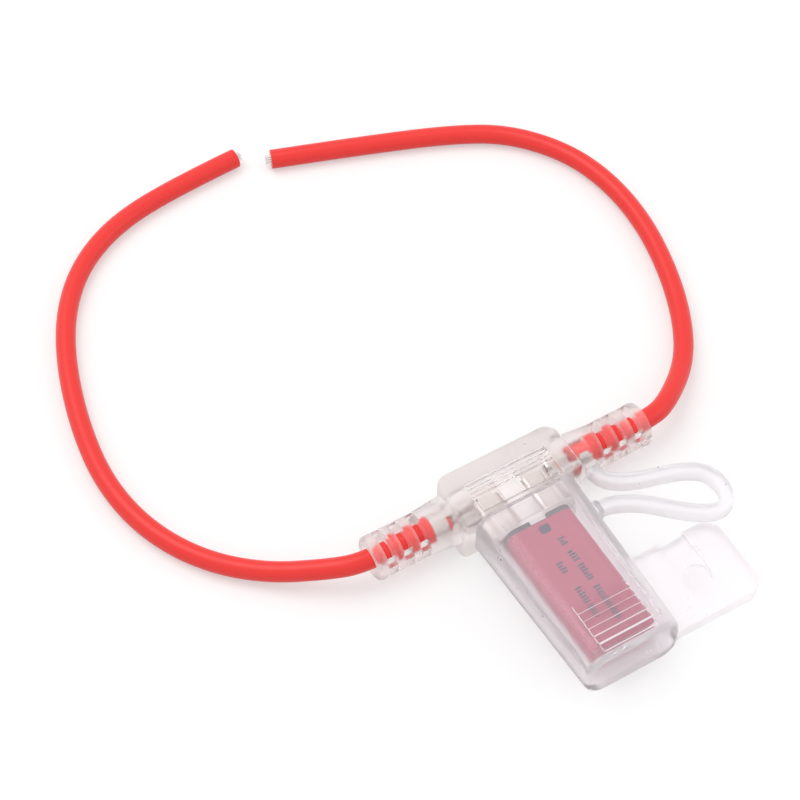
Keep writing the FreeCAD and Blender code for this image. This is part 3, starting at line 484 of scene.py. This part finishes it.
INK = finish("print ink", (0.07, 0.06, 0.10), 0.55, 300, 0.002)
bm = bmesh.new()
print_shape(bm, 0.0, -9.9, 1.7, 1.4, 0.35)
print_row(bm, 1.05, -12.4, -28.2, 1.05, (3, 4, 9, 16, 17))
print_row(bm, -1.45, -15.9, -18.2, 1.05, ())
print_row(bm, -1.45, -20.7, -26.1, 1.05, (5,))
raised = bmesh.ops.extrude_face_region(bm, geom=list(bm.faces), use_keep_orig=True)["geom"]
bmesh.ops.translate(bm, verts=[g for g in raised if isinstance(g, bmesh.types.BMVert)],
                    vec=(0, 0, (PRINT_SINK + PRINT_RISE) * MM))
make_piece("can_print", bm, INK, "breaker")

# %% [markdown]
# ## Painted highlights on the edges of the ribs
# Six grooves cross the cap's rib window. The sharp ridges between them catch the light
# as thin white lines, most of them thicker towards the closed end. A thin white rod on
# each ridge paints that highlight in. At the left the grooves end in arcs, whose highlights
# are painted the same way: there a small circle is spun about the axis of each groove.

# %% Rib edges, with painted highlights
RIB_END_X = 4.45
# place along Y, height and radius of the painted highlight rod on each ridge, in millimetres
RIDGE_HIGHLIGHT_RODS = ((-25.10, 9.10, 0.045), (-26.48, 9.10, 0.03), (-27.86, 9.10, 0.05),
          (-29.24, 9.10, 0.09), (-30.62, 9.10, 0.15), (-32.0, 9.11, 0.06))
GROOVE_RADIUS = 0.8
GROOVE_AXIS_HEIGHT = 9.5
GROOVE_PITCH = 1.38
FIRST_GROOVE = -24.41
GROOVE_COUNT = 6
ARC_HIGHLIGHT_THICKNESS = 0.05
ARC_SIDES = 8
ARC_STEPS = 10


def rod(bm, start, end, radius, sides=10):
    """A straight closed rod between two places in millimetres."""
    start, end = Vector(start) * MM, Vector(end) * MM
    turn = (end - start).to_track_quat("Z", "Y").to_matrix()
    ring = bmesh.ops.create_circle(bm, cap_ends=True, segments=sides, radius=radius * MM)["verts"]
    bmesh.ops.rotate(bm, verts=ring, cent=(0, 0, 0), matrix=turn)
    bmesh.ops.translate(bm, verts=ring, vec=start)
    face = ring[0].link_faces[0]
    grown = bmesh.ops.extrude_face_region(bm, geom=[face], use_keep_orig=True)["geom"]
    bmesh.ops.translate(bm, verts=[g for g in grown if isinstance(g, bmesh.types.BMVert)], vec=end - start)


bm = bmesh.new()
for place, height, radius in RIDGE_HIGHLIGHT_RODS:
    rod(bm, (-RIB_END_X, place, height), (RIB_END_X, place, height), radius)
for number in range(GROOVE_COUNT):
    middle = FIRST_GROOVE - number * GROOVE_PITCH
    reach = math.asin(GROOVE_PITCH / 2 / GROOVE_RADIUS)
    ring = bmesh.ops.create_circle(bm, cap_ends=False, segments=ARC_SIDES, radius=ARC_HIGHLIGHT_THICKNESS * MM)["verts"]
    bmesh.ops.rotate(bm, verts=ring, cent=(0, 0, 0), matrix=Matrix.Rotation(math.pi / 2, 3, "X"))
    axis_place = Vector((-RIB_END_X, middle, GROOVE_AXIS_HEIGHT)) * MM
    bmesh.ops.translate(bm, verts=ring, vec=axis_place - Vector((0, 0, GROOVE_RADIUS)) * MM)
    bmesh.ops.rotate(bm, verts=ring, cent=axis_place, matrix=Matrix.Rotation(-reach, 3, "X"))
    edges = list({edge for v in ring for edge in v.link_edges})
    bmesh.ops.contextual_create(bm, geom=edges)
    bmesh.ops.spin(bm, geom=ring + edges, cent=axis_place, axis=(1, 0, 0), angle=2 * reach, steps=ARC_STEPS)
loose = [edge for edge in bm.edges if edge.is_boundary]
bmesh.ops.holes_fill(bm, edges=loose, sides=0)
# white rods that paint the highlights on the ridges and on the arcs at the grooves' ends
PAINTED_RIDGE_HIGHLIGHT = finish("painted ridge highlight", (0.93, 0.88, 0.91), 0.30, 400, 0.002)
make_piece("rib_edge_highlights", bm, PAINTED_RIDGE_HIGHLIGHT, "cap")

# %% [markdown]
# ## The tether strap
# The strap is a flat strip of the same soft plastic, stood on edge and bent into a
# loop. On the real holder, the strap follows the cap when the cap is pulled off. The strip
# is extruded from its cross-section along a centre line, in two halves that meet in the
# loop's first bend. For each half a blend is worked out that is half-way between the two
# motions at the cut and changes equally fast across the strip, but the blends are not
# applied, and the halves are not attached to a part. The place of the cut and that change
# come from a search that weighed how wide the pulled strap gets against how much it bends.

# %% Strap
STRAP_ROUTE = [(12.2, -4.0), (12.2, -7.6), (25.1, -10.9), (27.2, -15.3), (25.9, -19.3),
               (21.7, -18.9), (13.0, -10.1), (9.4, -10.1)]
STRAP_Z = 5.5
STRAP_WIDTH = 2.0
STRAP_HEIGHT = 2.4
STRAP_ROUND = 0.45
STRAP_STEPS = 14           # steps of the centre line between two points of the route
STRAP_CUT = 31             # which point of the centre line both halves share
STRAP_ACROSS = -0.03       # change of the blend across the strip at the cut, per mm
STRAP_ROOT_MARGIN = 0.09   # added to the holder half's blend level at its root end
STRAP_SHARP_ANGLE = math.radians(50)


def centre_line(name, route, height):
    """Points along a smooth line through a flat route, read from a spline."""
    data = bpy.data.curves.new(name, "CURVE")
    data.dimensions = "3D"
    spline = data.splines.new("NURBS")
    spline.points.add(len(route) - 1)
    for point, (x, y) in zip(spline.points, route):
        point.co = (x * MM, y * MM, height * MM, 1)
    spline.order_u = 3
    spline.use_endpoint_u = True
    spline.resolution_u = STRAP_STEPS
    holder = bpy.data.objects.new(name, data)
    mesh = bpy.data.meshes.new_from_object(holder)
    points = [v.co.copy() for v in mesh.vertices]
    bpy.data.objects.remove(holder)
    bpy.data.meshes.remove(mesh)
    return points


def directions(points):
    """The direction of a line at each of its points."""
    last = len(points) - 1
    return [(points[min(k + 1, last)] - points[max(k - 1, 0)]).normalized() for k in range(len(points))]


def strap_half(name, points, along):
    """A strip with rounded edges through points, with its direction given at each of them."""
    bm = bmesh.new()
    rounded_rectangle(bm, STRAP_WIDTH, STRAP_HEIGHT, STRAP_ROUND)
    bmesh.ops.rotate(bm, verts=bm.verts, cent=(0, 0, 0), matrix=Matrix.Rotation(math.pi / 2, 3, "X"))
    frames = []
    for point, ahead in zip(points, along):
        turn = math.atan2(ahead.y, ahead.x) - math.pi / 2
        frames.append(Matrix.Translation(point) @ Matrix.Rotation(turn, 4, "Z"))
    bmesh.ops.transform(bm, matrix=frames[0], verts=bm.verts)
    ring = list(bm.edges)
    for before, after in zip(frames, frames[1:]):
        grown = bmesh.ops.extrude_edge_only(bm, edges=ring)["geom"]
        verts = [g for g in grown if isinstance(g, bmesh.types.BMVert)]
        ring = [g for g in grown if isinstance(g, bmesh.types.BMEdge) and all(v in verts for v in g.verts)]
        bmesh.ops.transform(bm, matrix=after @ before.inverted(), verts=verts)
    bmesh.ops.contextual_create(bm, geom=ring)
    bmesh.ops.recalc_face_normals(bm, faces=bm.faces)
    mesh = bpy.data.meshes.new(name)
    bm.to_mesh(mesh)
    bm.free()
    half = bpy.data.objects.new(name, mesh)
    bpy.context.scene.collection.objects.link(half)
    mesh.shade_smooth()
    mesh.set_sharp_from_angle(angle=STRAP_SHARP_ANGLE)
    return half


# %% [markdown]
# ### The blends of the two halves
# A blend is given by its start and its end. Half-way between them a piece has half of
# each motion, so both blends are worked out with their middle at the cut. Nothing
# here applies them to the halves.

# %% Strap halves
def blend_gradient(end, level):
    """Changes by level from the cut to end, and by STRAP_ACROSS across the strip."""
    across = STRAP_ACROSS / MM * cut_normal
    rest = level - (end - cut).dot(across)
    return across + rest / (end - cut).dot(cut_along) * cut_along


strap_points = centre_line("strap line", STRAP_ROUTE, STRAP_Z)
strap_along = directions(strap_points)
cut, cut_along = strap_points[STRAP_CUT], strap_along[STRAP_CUT]
cut_normal = Vector((-cut_along.y, cut_along.x, 0))
strap_near = strap_half("strap_holder_half", strap_points[:STRAP_CUT + 1], strap_along[:STRAP_CUT + 1])
strap_far = strap_half("strap_cap_half", strap_points[STRAP_CUT:], strap_along[STRAP_CUT:])
near_gradient = blend_gradient(strap_points[0], -0.5 - STRAP_ROOT_MARGIN)
far_gradient = blend_gradient(strap_points[-1], 0.5)
for half, gradient in ((strap_near, near_gradient), (strap_far, far_gradient)):
    reach = gradient / gradient.length_squared
    half.data.materials.append(CLEAR_STRAP)
    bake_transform(half)
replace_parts(strap_near, "tether_strap")
print("strap halves meet at", [round(c / MM, 1) for c in cut])

# %% [markdown]
# ## Table and light
# A product photograph on white has a bright even table. The floor is light grey, and a
# glow lifts it to full white where the camera, a reflection or clear plastic looks at
# it. The glow gives no diffuse light, so the soft shadow stays. One large lamp above
# and a weaker one at the side give the wire and the plastic their highlights.

# %% Floor
FLOOR_HALF = 2.0           # in metres
FLOOR_DROP = 0.02 * MM
FLOOR_GREY = 0.62
FLOOR_ROUGHNESS = 0.9
FLOOR_GLOW = 0.40

floor_mesh = bpy.data.meshes.new("table")
bm = bmesh.new()
bmesh.ops.create_grid(bm, x_segments=1, y_segments=1, size=FLOOR_HALF)
bmesh.ops.translate(bm, verts=bm.verts, vec=(0, 0, -FLOOR_DROP))
bm.to_mesh(floor_mesh)
bm.free()
floor = bpy.data.objects.new("table", floor_mesh)
bpy.context.scene.collection.objects.link(floor)


def looked_at(tree):
    """A value of 1 where the camera, a reflection or clear plastic looks, and 0 for other rays."""
    path = tree.nodes.new("ShaderNodeLightPath")
    seen = path.outputs["Is Camera Ray"]
    for kind in ("Is Glossy Ray", "Is Transmission Ray"):
        either = tree.nodes.new("ShaderNodeMath")
        either.operation = "MAXIMUM"
        tree.links.new(seen, either.inputs[0])
        tree.links.new(path.outputs[kind], either.inputs[1])
        seen = either.outputs[0]
    return seen


def white_stage():
    """White that stays white for the camera and in reflections, and still takes a shadow."""
    material = bpy.data.materials.new("white table")
    material.use_nodes = True
    nodes, links = material.node_tree.nodes, material.node_tree.links
    shader = nodes["Principled BSDF"]
    shader.inputs["Base Color"].default_value = (FLOOR_GREY, FLOOR_GREY, FLOOR_GREY, 1)
    shader.inputs["Roughness"].default_value = FLOOR_ROUGHNESS
    shader.inputs["Specular IOR Level"].default_value = 0.0
    glow = nodes.new("ShaderNodeEmission")
    gain = nodes.new("ShaderNodeMath")
    gain.operation = "MULTIPLY"
    gain.inputs[1].default_value = FLOOR_GLOW
    add = nodes.new("ShaderNodeAddShader")
    links.new(looked_at(material.node_tree), gain.inputs[0])
    links.new(gain.outputs[0], glow.inputs["Strength"])
    links.new(shader.outputs["BSDF"], add.inputs[0])
    links.new(glow.outputs["Emission"], add.inputs[1])
    links.new(add.outputs["Shader"], nodes["Material Output"].inputs["Surface"])
    return material


floor_mesh.materials.append(white_stage())
print("table has the finish", floor_mesh.materials[0].name)

# %% World
WORLD_LIGHT = 0.80


def light_world():
    """Even white light, and plain white where the camera, a reflection or clear plastic looks at it."""
    world = bpy.data.worlds.new("studio")
    bpy.context.scene.world = world
    world.use_nodes = True
    nodes, links = world.node_tree.nodes, world.node_tree.links
    back = nodes["Background"]
    level = nodes.new("ShaderNodeMapRange")
    level.inputs["To Min"].default_value = WORLD_LIGHT
    level.inputs["To Max"].default_value = 1.0
    links.new(looked_at(world.node_tree), level.inputs["Value"])
    links.new(level.outputs["Result"], back.inputs["Strength"])
    back.inputs["Color"].default_value = (1, 1, 1, 1)


light_world()
print("world light:", WORLD_LIGHT)

# %% Lamps
def soft_lamp(name, place, size, watts):
    """A square area lamp that looks at the holder."""
    data = bpy.data.lights.new(name, "AREA")
    data.shape = "SQUARE"
    data.size = size
    data.energy = watts
    lamp = bpy.data.objects.new(name, data)
    lamp.location = place
    lamp.rotation_euler = (-Vector(place)).to_track_quat("-Z", "Y").to_euler()
    bpy.context.scene.collection.objects.link(lamp)


soft_lamp("overhead", (-0.15, 0.25, 0.60), 0.45, 1.2)
soft_lamp("side", (0.45, -0.25, 0.35), 0.30, 0.2)
bpy.context.scene.view_settings.view_transform = "Standard"
